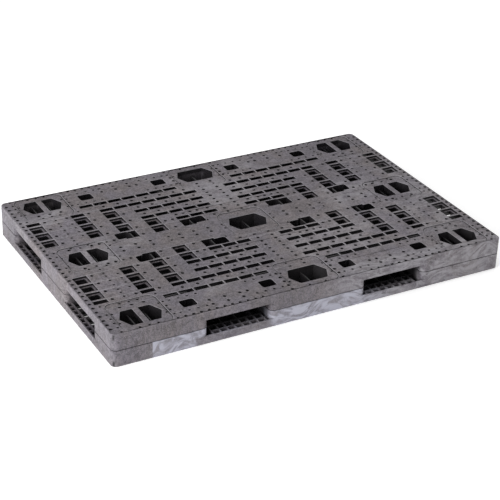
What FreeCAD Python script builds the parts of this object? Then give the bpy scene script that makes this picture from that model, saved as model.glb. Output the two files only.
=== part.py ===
import FreeCAD, Part
import math
import os

import Sketcher
from FreeCAD import Placement, Rotation, Vector

# Reversible four-way plastic pallet. Two identical half mouldings, one face up and one face down,
# are welded together at mid height where their nine hollow legs meet.
# Frame: millimetres, +X along the long side, +Y along the short side, +Z up.
# The origin is at the middle of the footprint, on the floor.

DIMENSIONS = (
    # alias, value, what it is
    ("length", 1500, "overall, along X"),
    ("width", 1000, "overall, along Y"),
    ("height", 120, "overall, both decks"),
    ("deck_depth", 30, "one deck: skin and ribs together"),
    ("skin", 4, "thickness of the perforated skin"),
    ("corner_radius", 20, "vertical corners of the decks and legs"),
    ("edge_round", 3, "rounding where the skin meets the side faces"),
    ("pitch", 56, "spacing of the ribs, both ways"),
    ("rib", 4, "thickness of the deck ribs"),
    ("rim_wall", 4, "outer wall around the ribs"),
    ("leg_wall", 5, "outer walls of the legs"),
    ("leg_web", 4, "webs inside the legs"),
    ("side_leg_x", 414, "inner face of the end legs, from the middle"),
    ("side_leg_y", 345, "inner face of the front and rear legs, from the middle"),
    ("middle_leg_x", 185, "half length of the middle legs"),
    ("middle_leg_y", 115, "half width of the middle legs"),
    ("window_x", 616, "centre of the end windows, from the middle"),
    ("window_y", 420, "centre of the front and rear windows, from the middle"),
    ("window_long", 148, "point to point, along X"),
    ("window_flat", 104, "straight edge, along X"),
    ("window_wide", 93, "across the flats, along Y"),
    ("window_round", 7, "corners of the windows"),
    ("window_bar", 20, "bar across each end window"),
    ("well_wall", 4, "wall of the well under each window"),
    ("low_web", 4, "thickness of the low webs in the wells"),
    ("low_web_drop", 20, "their top edge, below the deck surface"),
    ("low_web_offset", 28, "from the window centre, in the end legs"),
    ("slot_end_bar", 5, "skin between two slots of a row"),
    ("slot_side_bar", 8, "skin between two rows of cells"),
    ("slot_wide", 21.5, "short way of a slot"),
    ("hand_hole_long", 52, "along X"),
    ("hand_hole_wide", 44, "along Y"),
    ("hand_hole_round", 8, "corners of the hand holes"),
    ("panel_size", 178, "sunk panel around each window, both ways"),
    ("panel_round", 28, "corners of the sunk panels"),
    ("panel_depth", 1.2, "how far the panels are sunk"),
    ("groove_width", 2.5, "groove along the edge of a panel"),
    ("groove_depth", 1.4, "its depth below the panel"),
    ("front_panel_y", 406, "centre of the front and rear panels"),
    ("shelf_width", 7, "shelf around the inside of an open rib bay"),
    ("shelf_drop", 9, "top of the shelf, below the deck surface"),
    ("shelf_thick", 4, "thickness of the shelf"),
    ("drain", 10, "diameter of the large drain holes"),
    ("small_drain", 7, "diameter of the small drain holes"),
    ("edge_drain_x", 738, "row of drain holes along each end"),
    ("weld_height", 3, "height of the weld bead"),
    ("weld_setback", 2, "how far the bead lies behind the leg faces"),
)

# Slots of one quarter of the deck: rib bay along Y, then the rib bays along X.
SLOT_BAYS = {
    6: (2, 3, 4, 5, 6, 7, 8),
    5: (1, 2, 3, 4, 5, 6, 7, 9, 12),
    4: (1, 2, 3, 4, 5),
    3: (1, 2, 3, 4, 5),
    2: (1, 2, 3),
}
# Bays of one quarter that are open over their whole square.
OPEN_BAYS = {4: (7, 9, 12), 3: (7, 9, 12), 2: (5, 7, 9, 12), 1: (5,)}
# Open bays that run into a hand hole, with the place of that hole in pitches.
MERGED_BAYS = (((3, 1), (2.77, 1.59)), ((7, 1), (8, 1.59)))
# The other hand holes, in pitches.
HAND_HOLES = ((2.77, 7.5), (8, 7.5))
# Drain holes of one quarter on a lattice of a quarter pitch: line along Y, then lines along X.
LARGE_DRAINS = {
    1: (11, 15, 19, 27, 31, 35),
    5: (18, 27, 35, 39, 41, 47),
    7: (2, 6),
    9: (2, 17, 19, 27, 35, 47),
    11: (2, 6, 9, 11, 13, 15),
    13: (2, 27, 35, 47),
    15: (2, 6, 10, 14, 18, 22),
    17: (2, 27, 35, 47),
    19: (2, 6, 10, 14, 18, 22),
    21: (2, 35, 41, 47),
    23: (7, 10, 14, 18, 22, 26, 30),
    25: (2, 41, 44, 47),
    27: (7,),
    29: (7,),
    31: (7, 17, 19, 23, 27),
    33: (7, 19, 23, 27),
    35: (7, 21, 23, 25, 27, 29, 31, 33, 35),
}
SMALL_DRAINS = {
    1: (7, 22),
    2: (38, 50),
    3: (37, 51),
    5: (9, 37, 44, 51),
    7: (44,),
    9: (44,),
    19: (44,),
    21: (44,),
    23: (37, 51),
    27: (37, 51),
    29: (37, 51),
    31: (37, 51),
    33: (37, 51),
    35: (15, 17, 19, 37, 51),
}
# Small drain holes off that lattice, in pitches.
LOOSE_DRAINS = (
    (1.46, 6.78), (1.46, 7.88), (9.55, 6.78), (9.55, 7.88), (12.46, 6.78), (12.46, 7.88),
    (0.55, 5.84), (0.55, 8.7), (10.45, 5.88), (11, 5.88), (11.59, 5.88),
    (10.45, 8.7), (11, 8.7), (11.59, 8.7), (10.43, 1.43), (11.57, 1.43),
)
# Groups of four small drain holes in a line: centre in pitches, and the way the line runs.
DRAIN_GROUPS = (
    ((8, 8.25), "X"), ((3, 8.25), "X"), ((8, 6.75), "X"), ((3, 6.75), "X"),
    ((11, 3.5), "Y"), ((10.25, 3.5), "Y"),
)
DRAIN_GROUP_STEP = 4 / 7  # in pitches

MIRRORED = ((1, 1), (-1, 1), (1, -1), (-1, -1))

doc = FreeCAD.newDocument("plastic_pallet")


def make_sheet():
    sheet = doc.addObject("Spreadsheet::Sheet", "Dimensions")
    for row, (alias, value, meaning) in enumerate(DIMENSIONS, start=1):
        sheet.set("A%d" % row, alias)
        sheet.set("B%d" % row, str(value))
        sheet.set("C%d" % row, meaning)
        sheet.setAlias("B%d" % row, alias)
    doc.recompute()
    return sheet


sheet = make_sheet()


def size(alias):
    return float(sheet.get(alias))


def bound(text):
    """An expression on the sheet: every alias in the text gets the sheet's name."""
    words = text.replace("(", " ( ").replace(")", " ) ").split()
    aliases = {alias for alias, value, meaning in DIMENSIONS}
    return " ".join("Dimensions." + word if word in aliases else word for word in words)


# ---- flat outlines for the pierced skin and the rib lattice ----


def rounded_wire(corners):
    """A closed wire through (x, y, radius) corners, with an arc at each corner that has a radius."""
    points = [Vector(x, y, 0) for x, y, radius in corners]
    edges = []
    last = None
    first = None
    for index, (x, y, radius) in enumerate(corners):
        corner = points[index]
        before = (points[index - 1] - corner).normalize()
        after = (points[(index + 1) % len(points)] - corner).normalize()
        half = before.getAngle(after) / 2
        reach = radius / math.tan(half)
        start = corner + before * reach
        end = corner + after * reach
        if last is not None:
            edges.append(Part.LineSegment(last, start).toShape())
        else:
            first = start
        if radius:
            middle = corner + (before + after).normalize() * (radius / math.sin(half) - radius)
            edges.append(Part.Arc(start, middle, end).toShape())
        last = end
    edges.append(Part.LineSegment(last, first).toShape())
    return Part.Wire(edges)


def rectangle(x_low, x_high, y_low, y_high, radius=0.0):
    corners = ((x_low, y_low), (x_high, y_low), (x_high, y_high), (x_low, y_high))
    return rounded_wire([(x, y, radius) for x, y in corners])


def centred_rectangle(x, y, long_side, wide_side, radius=0.0):
    return rectangle(x - long_side / 2, x + long_side / 2, y - wide_side / 2, y + wide_side / 2, radius)


def hexagon_points(x, y, grow=0.0):
    """Corners of a window; grow moves every side outwards."""
    slope = math.hypot(size("window_wide") / 2, (size("window_long") - size("window_flat")) / 2)
    slope = slope / (size("window_wide") / 2)
    point = size("window_long") / 2 + grow * slope
    half_wide = size("window_wide") / 2 + grow
    run = (size("window_long") - size("window_flat")) / size("window_wide")
    flat = point - half_wide * run
    right = ((point, 0), (flat, half_wide))
    left = ((-flat, half_wide), (-point, 0), (-flat, -half_wide))
    return [(x + dx, y + dy) for dx, dy in right + left + ((flat, -half_wide),)]


def window_wire(x, y, grow=0.0):
    radius = size("window_round") + grow
    return rounded_wire([(px, py, radius) for px, py in hexagon_points(x, y, grow)])


def half_window_wire(x, y, side, bar):
    """The part of a window on one side of its bar."""
    points = hexagon_points(x, y)
    radius = size("window_round")
    if side > 0:
        point, flat_rear, flat_front = points[0], points[1], points[5]
    else:
        point, flat_rear, flat_front = points[3], points[2], points[4]
    at_bar = x + side * bar / 2
    corners = [point, flat_rear, (at_bar, flat_rear[1]), (at_bar, flat_front[1]), flat_front]
    return rounded_wire([(px, py, radius if px != at_bar else 2) for px, py in corners])


def window_centres():
    for x in (-size("window_x"), 0.0, size("window_x")):
        for y in (-size("window_y"), 0.0, size("window_y")):
            yield x, y


def window_openings(bar):
    """All window outlines; the end windows are halved by a bar of that width."""
    wires = []
    for x, y in window_centres():
        if x == 0.0:
            wires.append(window_wire(x, y))
        else:
            wires.append(half_window_wire(x, y, 1, bar))
            wires.append(half_window_wire(x, y, -1, bar))
    return wires


def mirrored(x, y):
    """The four mirror images of a place in one quarter, without repeats on the middle lines."""
    return {(sx * x, sy * y) for sx, sy in MIRRORED}


def hand_hole(x, y):
    return centred_rectangle(x, y, size("hand_hole_long"), size("hand_hole_wide"), size("hand_hole_round"))


def bay(column, row, short=False):
    """Low and high limits of a bay opening: the whole square, or a slot along its inner side."""
    x_low = column * size("pitch") + size("slot_end_bar") / 2
    x_high = (column + 1) * size("pitch") - size("slot_end_bar") / 2
    y_low = row * size("pitch") + size("slot_side_bar") / 2
    y_high = y_low + size("slot_wide") if short else (row + 1) * size("pitch") - size("slot_side_bar") / 2
    return x_low, x_high, y_low, y_high


def bay_wires(column, row, short=False):
    x_low, x_high, y_low, y_high = bay(column, row, short)
    wires = []
    for sx, sy in MIRRORED:
        xs = sorted((sx * x_low, sx * x_high))
        ys = sorted((sy * y_low, sy * y_high))
        wires.append(rectangle(xs[0], xs[1], ys[0], ys[1]))
    return wires


def merged_wires(cell, hole):
    """An open bay joined with the hand hole that cuts into it, in all four quarters."""
    hole_x = hole[0] * size("pitch")
    hole_y = hole[1] * size("pitch")
    wires = []
    for (sx, sy), bay_wire in zip(MIRRORED, bay_wires(*cell)):
        joined = Part.Face(bay_wire).fuse(Part.Face(hand_hole(sx * hole_x, sy * hole_y)))
        wires.append(joined.removeSplitter().Faces[0].OuterWire)
    return wires


def slot_openings():
    wires = []
    for row, columns in SLOT_BAYS.items():
        for column in columns:
            wires += bay_wires(column, row, short=True)
    for row, columns in OPEN_BAYS.items():
        for column in columns:
            wires += bay_wires(column, row)
    for cell, hole in MERGED_BAYS:
        wires += merged_wires(cell, hole)
    for x, y in HAND_HOLES:
        wires += [hand_hole(mx, my) for mx, my in mirrored(x * size("pitch"), y * size("pitch"))]
    return wires


def round_hole(x, y, diameter):
    return Part.Wire(Part.makeCircle(diameter / 2, Vector(x, y, 0)))


def drain_places():
    """(x, y, diameter) of every drain hole of one quarter."""
    quarter = size("pitch") / 4
    for rows, diameter in ((LARGE_DRAINS, size("drain")), (SMALL_DRAINS, size("small_drain"))):
        for row, columns in rows.items():
            for column in columns:
                yield column * quarter, row * quarter, diameter
    for x, y in LOOSE_DRAINS:
        yield x * size("pitch"), y * size("pitch"), size("small_drain")
    for (x, y), way in DRAIN_GROUPS:
        for step in (-1.5, -0.5, 0.5, 1.5):
            along = step * DRAIN_GROUP_STEP
            place = (x + along, y) if way == "X" else (x, y + along)
            yield place[0] * size("pitch"), place[1] * size("pitch"), size("small_drain")
    for row in range(1, 36, 2):
        yield size("edge_drain_x"), row * quarter, size("drain")


def drain_openings():
    wires = []
    for x, y, diameter in drain_places():
        wires += [round_hole(mx, my, diameter) for mx, my in mirrored(x, y)]
    return wires


def clockwise(wire):
    """The same wire, running clockwise seen from above, as an opening has to."""
    points = wire.discretize(24)
    turn = sum(a.x * b.y - b.x * a.y for a, b in zip(points, points[1:]))
    return wire if turn < 0 else wire.reversed()


def pierced_face(outline, openings):
    return Part.Face([outline] + [clockwise(wire) for wire in openings])


def deck_outline(inset=0.0):
    return centred_rectangle(
        0, 0, size("length") - 2 * inset, size("width") - 2 * inset, size("corner_radius") - inset
    )


# ---- the pierced skin ----


def panel_centres():
    for x in (-size("window_x"), 0.0, size("window_x")):
        for y in (-size("front_panel_y"), 0.0, size("front_panel_y")):
            yield x, y


def panel_cutters():
    """What is taken away to sink the panels and their grooves, measured from the deck surface."""
    cutters = []
    side = size("panel_size")
    inner = side - 2 * size("groove_width")
    groove_base = size("height") - size("panel_depth") - size("groove_depth")
    for x, y in panel_centres():
        sunk = Part.Face(centred_rectangle(x, y, side, side, size("panel_round")))
        sunk.translate(Vector(0, 0, size("height") - size("panel_depth")))
        cutters.append(sunk.extrude(Vector(0, 0, size("panel_depth") + 1)))
        core = centred_rectangle(x, y, inner, inner, size("panel_round") - size("groove_width"))
        groove = pierced_face(centred_rectangle(x, y, side, side, size("panel_round")), [core])
        groove.translate(Vector(0, 0, groove_base))
        cutters.append(groove.extrude(Vector(0, 0, size("groove_depth") + size("panel_depth") / 2)))
    return cutters


def outer_top_edges(plate):
    """The four long edges and four corner arcs around the top of the plate."""
    corner = size("corner_radius")
    corner_x = size("length") / 2 - corner
    corner_y = size("width") / 2 - corner
    found = []
    for edge in plate.Edges:
        box = edge.BoundBox
        at_top = box.ZMin > size("height") - 0.01
        is_side = max(box.XLength, box.YLength) > size("width") / 2
        at_corner = abs(box.Center.x) > corner_x and abs(box.Center.y) > corner_y
        if at_top and (is_side or (at_corner and box.XLength > corner / 2)):
            found.append(edge)
    return found


def skin_shape():
    openings = slot_openings() + window_openings(size("window_bar")) + drain_openings()
    face = pierced_face(deck_outline(), openings)
    face.translate(Vector(0, 0, size("height") - size("skin")))
    plate = face.extrude(Vector(0, 0, size("skin")))
    plate = plate.makeFillet(size("edge_round"), outer_top_edges(plate))
    for cutter in panel_cutters():
        plate = plate.cut(cutter)
    return plate


# ---- the rib lattice ----


def bay_limits(half_length, rib_count):
    """Low and high limits of the open bays along one direction."""
    half_rib = size("rib") / 2
    limits = []
    low = -half_length + size("rim_wall")
    for index in range(-rib_count, rib_count + 1):
        limits.append((low, index * size("pitch") - half_rib))
        low = index * size("pitch") + half_rib
    limits.append((low, half_length - size("rim_wall")))
    return limits


def split(limits, middle):
    """A bay split in two by a rib at that place."""
    return (limits[0], middle - size("rib") / 2), (middle + size("rib") / 2, limits[1])


def lattice_cells():
    """Limits of every cell between the ribs, with divided ones behind the fork openings."""
    rib_count_x = int((size("length") / 2 - size("rim_wall")) // size("pitch"))
    rib_count_y = int((size("width") / 2 - size("rim_wall")) // size("pitch"))
    bays_x = bay_limits(size("length") / 2, rib_count_x)
    bays_y = bay_limits(size("width") / 2, rib_count_y)
    for bay_x in bays_x:
        for bay_y in bays_y:
            middle_x = sum(bay_x) / 2
            middle_y = sum(bay_y) / 2
            parts_x = [bay_x]
            parts_y = [bay_y]
            long_entry = size("middle_leg_x") < abs(middle_x) < size("side_leg_x")
            short_entry = size("middle_leg_y") < abs(middle_y) < size("side_leg_y")
            if long_entry and bay_y in (bays_y[0], bays_y[-1]):
                edge_rib = math.copysign((rib_count_y + 0.5) * size("pitch"), middle_y)
                parts_x = split(bay_x, middle_x)
                parts_y = split(bay_y, edge_rib)
            if short_entry and bay_x in (bays_x[0], bays_x[-1]):
                parts_y = split(bay_y, middle_y)
            for x_limits in parts_x:
                for y_limits in parts_y:
                    yield x_limits, y_limits


def is_open_bay(x_limits, y_limits):
    """Whether the skin is open over the whole of that cell."""
    column = int(abs(sum(x_limits) / 2) // size("pitch"))
    row = int(abs(sum(y_limits) / 2) // size("pitch"))
    return column in OPEN_BAYS.get(row, ())


def leg_spans():
    """(low, high) of the three rows of legs along X and along Y."""
    half_length = size("length") / 2
    half_width = size("width") / 2
    side_x = size("side_leg_x")
    side_y = size("side_leg_y")
    along_x = ((-half_length, -side_x), (-size("middle_leg_x"), size("middle_leg_x")), (side_x, half_length))
    along_y = ((-half_width, -side_y), (-size("middle_leg_y"), size("middle_leg_y")), (side_y, half_width))
    return along_x, along_y


def leg_ring(x_span, y_span):
    wall = size("leg_wall")
    radius = size("corner_radius")
    outer = rectangle(x_span[0], x_span[1], y_span[0], y_span[1], radius)
    inner = rectangle(x_span[0] + wall, x_span[1] - wall, y_span[0] + wall, y_span[1] - wall, radius - wall)
    return pierced_face(outer, [inner])


def shelf_cutters(cells):
    """What is taken away above and below the shelf of each open bay."""
    base = size("height") - size("deck_depth")
    shelf_top = size("height") - size("shelf_drop")
    shelf_base = shelf_top - size("shelf_thick")
    cutters = []
    for low, high in ((base, shelf_base), (shelf_top, size("height") - size("skin"))):
        for cell in cells:
            lifted = cell.copy()
            lifted.translate(Vector(0, 0, low))
            cutters.append(lifted.extrude(Vector(0, 0, high - low)))
    return cutters


def lattice_shape():
    """Rim, ribs, the upward run of the leg walls and the walls of the window wells."""
    along_x, along_y = leg_spans()
    keep = [Part.Face(window_wire(x, y, size("well_wall"))) for x, y in window_centres()]
    keep += [leg_ring(x_span, y_span) for x_span in along_x for y_span in along_y]
    kept = Part.makeCompound(keep)
    inside = Part.Face(deck_outline(size("rim_wall")))
    openings = window_openings(size("rib"))
    shelved = []
    shelf = size("shelf_width")
    for x_limits, y_limits in lattice_cells():
        cell = Part.Face(rectangle(*x_limits, *y_limits)).common(inside).cut(kept)
        if is_open_bay(x_limits, y_limits):
            shelved += cell.Faces
            inner_x = (x_limits[0] + shelf, x_limits[1] - shelf)
            inner_y = (y_limits[0] + shelf, y_limits[1] - shelf)
            openings.append(rectangle(*inner_x, *inner_y, radius=3.0))
        else:
            openings += [face.OuterWire for face in cell.Faces if face.Area > size("rib") ** 2]
    face = pierced_face(deck_outline(), openings)
    holes = []
    for x, y in HAND_HOLES + tuple(hole for cell, hole in MERGED_BAYS):
        for mx, my in mirrored(x * size("pitch"), y * size("pitch")):
            holes.append(Part.Face(hand_hole(mx, my)))
    face = face.cut(Part.makeCompound(holes))
    face.translate(Vector(0, 0, size("height") - size("deck_depth")))
    lattice = face.extrude(Vector(0, 0, size("deck_depth") - size("skin")))
    lattice = lattice.cut(Part.makeCompound(shelf_cutters(shelved)))
    return lattice.Solids[0] if len(lattice.Solids) == 1 else lattice


def add_feature(name, shape):
    feature = doc.addObject("Part::Feature", name)
    feature.Label = name
    feature.Shape = shape
    feature.Placement = Placement(Vector(0, 0, 0), Rotation())
    return feature


def add_mirror(name, source):
    """The same moulding turned upside down about mid height."""
    mirror = doc.addObject("Part::Mirroring", name)
    mirror.Label = name
    mirror.Source = source
    mirror.Normal = Vector(0, 0, 1)
    mirror.setExpression("Base.z", bound("height / 2"))
    return mirror


# ---- the legs and the weld beads: bodies made of sketches ----


def origin_plane(body, role):
    return next(item for item in body.Origin.OriginFeatures if item.Role == role)


def new_sketch(body, name):
    sketch = body.newObject("Sketcher::SketchObject", name)
    sketch.AttachmentSupport = [(origin_plane(body, "XY_Plane"), "")]
    sketch.MapMode = "FlatFace"
    return sketch


def value_of(text):
    """The number that an expression on the sheet gives now."""
    names = {alias: size(alias) for alias, value, meaning in DIMENSIONS}
    total = 0.0
    sign = 1
    for term in text.split():
        if term in "+-":
            sign = 1 if term == "+" else -1
            continue
        factor = 1.0
        for piece in term.split("*"):
            factor *= names[piece] if piece in names else float(piece)
        total += sign * factor
    return total


def bound_sum(text):
    """Like bound, for sums of products written without spaces around the *."""
    return bound(text.replace("*", " * "))


def limit(sketch, kind, geometry, point, text):
    """Hold one coordinate of a point, measured from the sketch's origin, at an expression."""
    number = sketch.addConstraint(Sketcher.Constraint(kind, -1, 1, geometry, point, value_of(text)))
    sketch.setExpression("Constraints[%d]" % number, bound_sum(text))


def draw_rounded(sketch, x_low, x_high, y_low, y_high, radius):
    """A rounded rectangle whose four sides and radius are expressions."""
    x0, x1, y0, y1, r = (value_of(text) for text in (x_low, x_high, y_low, y_high, radius))
    lines = (
        (Vector(x0 + r, y0), Vector(x1 - r, y0)),
        (Vector(x1, y0 + r), Vector(x1, y1 - r)),
        (Vector(x1 - r, y1), Vector(x0 + r, y1)),
        (Vector(x0, y1 - r), Vector(x0, y0 + r)),
    )
    centres = (
        (Vector(x1 - r, y0 + r), -math.pi / 2),
        (Vector(x1 - r, y1 - r), 0.0),
        (Vector(x0 + r, y1 - r), math.pi / 2),
        (Vector(x0 + r, y0 + r), math.pi),
    )
    side = [sketch.addGeometry(Part.LineSegment(start, end)) for start, end in lines]
    arc = []
    for centre, angle in centres:
        circle = Part.Circle(centre, Vector(0, 0, 1), r)
        arc.append(sketch.addGeometry(Part.ArcOfCircle(circle, angle, angle + math.pi / 2)))
    for index in range(4):
        following = side[(index + 1) % 4]
        sketch.addConstraint(Sketcher.Constraint("Tangent", side[index], 2, arc[index], 1))
        sketch.addConstraint(Sketcher.Constraint("Tangent", arc[index], 2, following, 1))
    for index, kind in enumerate(("Horizontal", "Vertical", "Horizontal", "Vertical")):
        sketch.addConstraint(Sketcher.Constraint(kind, side[index]))
    for index in range(1, 4):
        sketch.addConstraint(Sketcher.Constraint("Equal", arc[0], arc[index]))
    number = sketch.addConstraint(Sketcher.Constraint("Radius", arc[0], r))
    sketch.setExpression("Constraints[%d]" % number, bound_sum(radius))
    limit(sketch, "DistanceY", side[0], 1, y_low)
    limit(sketch, "DistanceX", side[1], 1, x_high)
    limit(sketch, "DistanceY", side[2], 1, y_high)
    limit(sketch, "DistanceX", side[3], 1, x_low)


def draw_rectangle(sketch, x_low, x_high, y_low, y_high):
    """A plain rectangle whose four sides are expressions."""
    x0, x1, y0, y1 = (value_of(text) for text in (x_low, x_high, y_low, y_high))
    corners = (Vector(x0, y0), Vector(x1, y0), Vector(x1, y1), Vector(x0, y1))
    side = [sketch.addGeometry(Part.LineSegment(corners[i], corners[(i + 1) % 4])) for i in range(4)]
    for index, kind in enumerate(("Horizontal", "Vertical", "Horizontal", "Vertical")):
        sketch.addConstraint(Sketcher.Constraint("Coincident", side[index], 2, side[(index + 1) % 4], 1))
        sketch.addConstraint(Sketcher.Constraint(kind, side[index]))
    limit(sketch, "DistanceY", side[0], 1, y_low)
    limit(sketch, "DistanceX", side[1], 1, x_high)
    limit(sketch, "DistanceY", side[2], 1, y_high)
    limit(sketch, "DistanceX", side[3], 1, x_low)


def draw_hexagon(sketch, x_centre, y_centre, wall):
    """A window outline, grown outwards by the wall, with its corners held at expressions."""
    slope = math.hypot(size("window_wide"), size("window_long") - size("window_flat")) / size("window_wide")
    run = (size("window_long") - size("window_flat")) / size("window_wide")
    x_point = "0.5*window_long" + (" + %g*%s" % (slope, wall) if wall else "")
    y_flat = "0.5*window_wide" + (" + %s" % wall if wall else "")
    x_flat = "0.5*window_flat" + (" + %g*%s" % (slope - run, wall) if wall else "")
    negative = {text: text.replace(" + ", " - ") for text in (x_point, y_flat, x_flat)}
    places = (
        (x_centre + " + " + x_point, y_centre),
        (x_centre + " + " + x_flat, y_centre + " + " + y_flat),
        (x_centre + " - " + negative[x_flat], y_centre + " + " + y_flat),
        (x_centre + " - " + negative[x_point], y_centre),
        (x_centre + " - " + negative[x_flat], y_centre + " - " + negative[y_flat]),
        (x_centre + " + " + x_flat, y_centre + " - " + negative[y_flat]),
    )
    corners = [Vector(value_of(x), value_of(y)) for x, y in places]
    side = [sketch.addGeometry(Part.LineSegment(corners[i], corners[(i + 1) % 6])) for i in range(6)]
    for index in range(6):
        sketch.addConstraint(Sketcher.Constraint("Coincident", side[index], 2, side[(index + 1) % 6], 1))
    for index, (x, y) in enumerate(places):
        limit(sketch, "DistanceX", side[index], 1, x)
        limit(sketch, "DistanceY", side[index], 1, y)


def add_pad(body, sketch, name, length):
    pad = body.newObject("PartDesign::Pad", name)
    pad.Profile = sketch
    pad.setExpression("Length", bound_sum(length))
    return pad


def add_pocket(body, sketch, name, length):
    """A pocket upwards from the sketch."""
    pocket = body.newObject("PartDesign::Pocket", name)
    pocket.Profile = sketch
    pocket.Reversed = True
    pocket.setExpression("Length", bound_sum(length))
    return pocket


def place_body(body, x_low, y_low, z_low):
    body.setExpression("Placement.Base.x", bound_sum(x_low))
    body.setExpression("Placement.Base.y", bound_sum(y_low))
    body.setExpression("Placement.Base.z", bound_sum(z_low))


# Along each direction: name, low limit, length, window centre, first web, and number of webs.
# All but the low limit are measured from that limit.
LEG_COLUMNS = (
    ("left", "-0.5*length", "0.5*length - side_leg_x", "0.5*length - window_x", "0.5*length - 13*pitch", 6),
    ("centre", "-1*middle_leg_x", "2*middle_leg_x", "1*middle_leg_x", "middle_leg_x - 3*pitch", 7),
    ("right", "side_leg_x", "0.5*length - side_leg_x", "window_x - side_leg_x", "8*pitch - side_leg_x", 6),
)
LEG_ROWS = (
    ("front", "-0.5*width", "0.5*width - side_leg_y", "0.5*width - window_y", "0.5*width - 8*pitch", 2),
    ("middle", "-1*middle_leg_y", "2*middle_leg_y", "1*middle_leg_y", "middle_leg_y - 1*pitch", 3),
    ("rear", "side_leg_y", "0.5*width - side_leg_y", "window_y - side_leg_y", "7*pitch - side_leg_y", 2),
)
LEG_BASE = "0.5*height + 0.5*weld_height"
LEG_HEIGHT = "0.5*height - deck_depth - 0.5*weld_height"
LOW_WEB_HEIGHT = "0.5*height - low_web_drop - 0.5*weld_height"


def make_leg(column, row):
    """Upper half of one leg: outer walls, crossing webs, the window's well and the low webs in it."""
    column_name, x_low, x_length, x_window, x_web, x_count = column
    row_name, y_low, y_length, y_window, y_web, y_count = row
    body = doc.addObject("PartDesign::Body", "upper_leg_%s_%s" % (row_name, column_name))
    body.Label = body.Name
    outline = new_sketch(body, "outline")
    draw_rounded(outline, "0", x_length, "0", y_length, "corner_radius")
    add_pad(body, outline, "block", LEG_HEIGHT)
    hollow = new_sketch(body, "hollow")
    x_inner = x_length + " - leg_wall"
    y_inner = y_length + " - leg_wall"
    draw_rounded(hollow, "leg_wall", x_inner, "leg_wall", y_inner, "corner_radius - leg_wall")
    add_pocket(body, hollow, "chamber", LEG_HEIGHT)
    cross = new_sketch(body, "cross_webs_outline")
    for index in range(x_count):
        middle = "%s + %d*pitch" % (x_web, index)
        low, high = middle + " - 0.5*leg_web", middle + " + 0.5*leg_web"
        draw_rectangle(cross, low, high, "0.5*leg_wall", y_length + " - 0.5*leg_wall")
    add_pad(body, cross, "cross_webs", LEG_HEIGHT)
    along = new_sketch(body, "long_webs_outline")
    for index in range(y_count):
        middle = "%s + %d*pitch" % (y_web, index)
        low, high = middle + " - 0.5*leg_web", middle + " + 0.5*leg_web"
        draw_rectangle(along, "0.5*leg_wall", x_length + " - 0.5*leg_wall", low, high)
    add_pad(body, along, "long_webs", LEG_HEIGHT)
    well_outer = new_sketch(body, "well_outer")
    draw_hexagon(well_outer, x_window, y_window, "well_wall")
    add_pad(body, well_outer, "well_walls", LEG_HEIGHT)
    well_inner = new_sketch(body, "well_inner")
    draw_hexagon(well_inner, x_window, y_window, "")
    add_pocket(body, well_inner, "well", LEG_HEIGHT)
    low_webs = new_sketch(body, "low_webs_outline")
    offsets = ("",) if column_name == "centre" else (" - low_web_offset", " + low_web_offset")
    for offset in offsets:
        middle = x_window + offset
        low, high = middle + " - 0.5*low_web", middle + " + 0.5*low_web"
        draw_rectangle(low_webs, low, high, y_window + " - 0.5*window_wide", y_window + " + 0.5*window_wide")
    add_pad(body, low_webs, "low_webs", LOW_WEB_HEIGHT)
    place_body(body, x_low, y_low, LEG_BASE)
    return body


def make_weld(column, row):
    """The bead that joins the walls of two half legs, set back a little from their faces."""
    column_name, x_low, x_length = column[:3]
    row_name, y_low, y_length = row[:3]
    body = doc.addObject("PartDesign::Body", "weld_bead_%s_%s" % (row_name, column_name))
    body.Label = body.Name
    ring = new_sketch(body, "ring")
    x_outer = x_length + " - weld_setback"
    y_outer = y_length + " - weld_setback"
    draw_rounded(ring, "weld_setback", x_outer, "weld_setback", y_outer, "corner_radius - weld_setback")
    x_inner = x_length + " - leg_wall"
    y_inner = y_length + " - leg_wall"
    draw_rounded(ring, "leg_wall", x_inner, "leg_wall", y_inner, "corner_radius - leg_wall")
    add_pad(body, ring, "bead", "weld_height")
    place_body(body, x_low, y_low, "0.5*height - 0.5*weld_height")
    return body


def check_document(nodes):
    for item in doc.Objects:
        if "Invalid" in item.State or "Error" in item.State:
            raise RuntimeError("%s failed: %s" % (item.Label, item.State))
    for node in nodes:
        shape = node.Shape
        if shape.isNull() or not shape.isValid() or len(shape.Solids) != 1:
            raise RuntimeError("%s is not one valid solid" % node.Label)


def main():
    upper_skin = add_feature("upper_deck_skin", skin_shape())
    upper_ribs = add_feature("upper_rib_lattice", lattice_shape())
    nodes = [upper_skin, upper_ribs]
    nodes.append(add_mirror("lower_deck_skin", upper_skin))
    nodes.append(add_mirror("lower_rib_lattice", upper_ribs))
    for column in LEG_COLUMNS:
        for row in LEG_ROWS:
            leg = make_leg(column, row)
            nodes.append(leg)
            nodes.append(add_mirror(leg.Label.replace("upper", "lower"), leg))
            nodes.append(make_weld(column, row))
    doc.recompute()
    check_document(nodes)
    os.makedirs("parts", exist_ok=True)
    for node in nodes:
        node.Shape.exportStep("parts/%s.step" % node.Label)
        print("%-28s %10.0f mm3" % (node.Label, node.Shape.Volume))


main()
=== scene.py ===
import math

import bmesh
import bpy
from mathutils import Matrix, Vector


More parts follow.
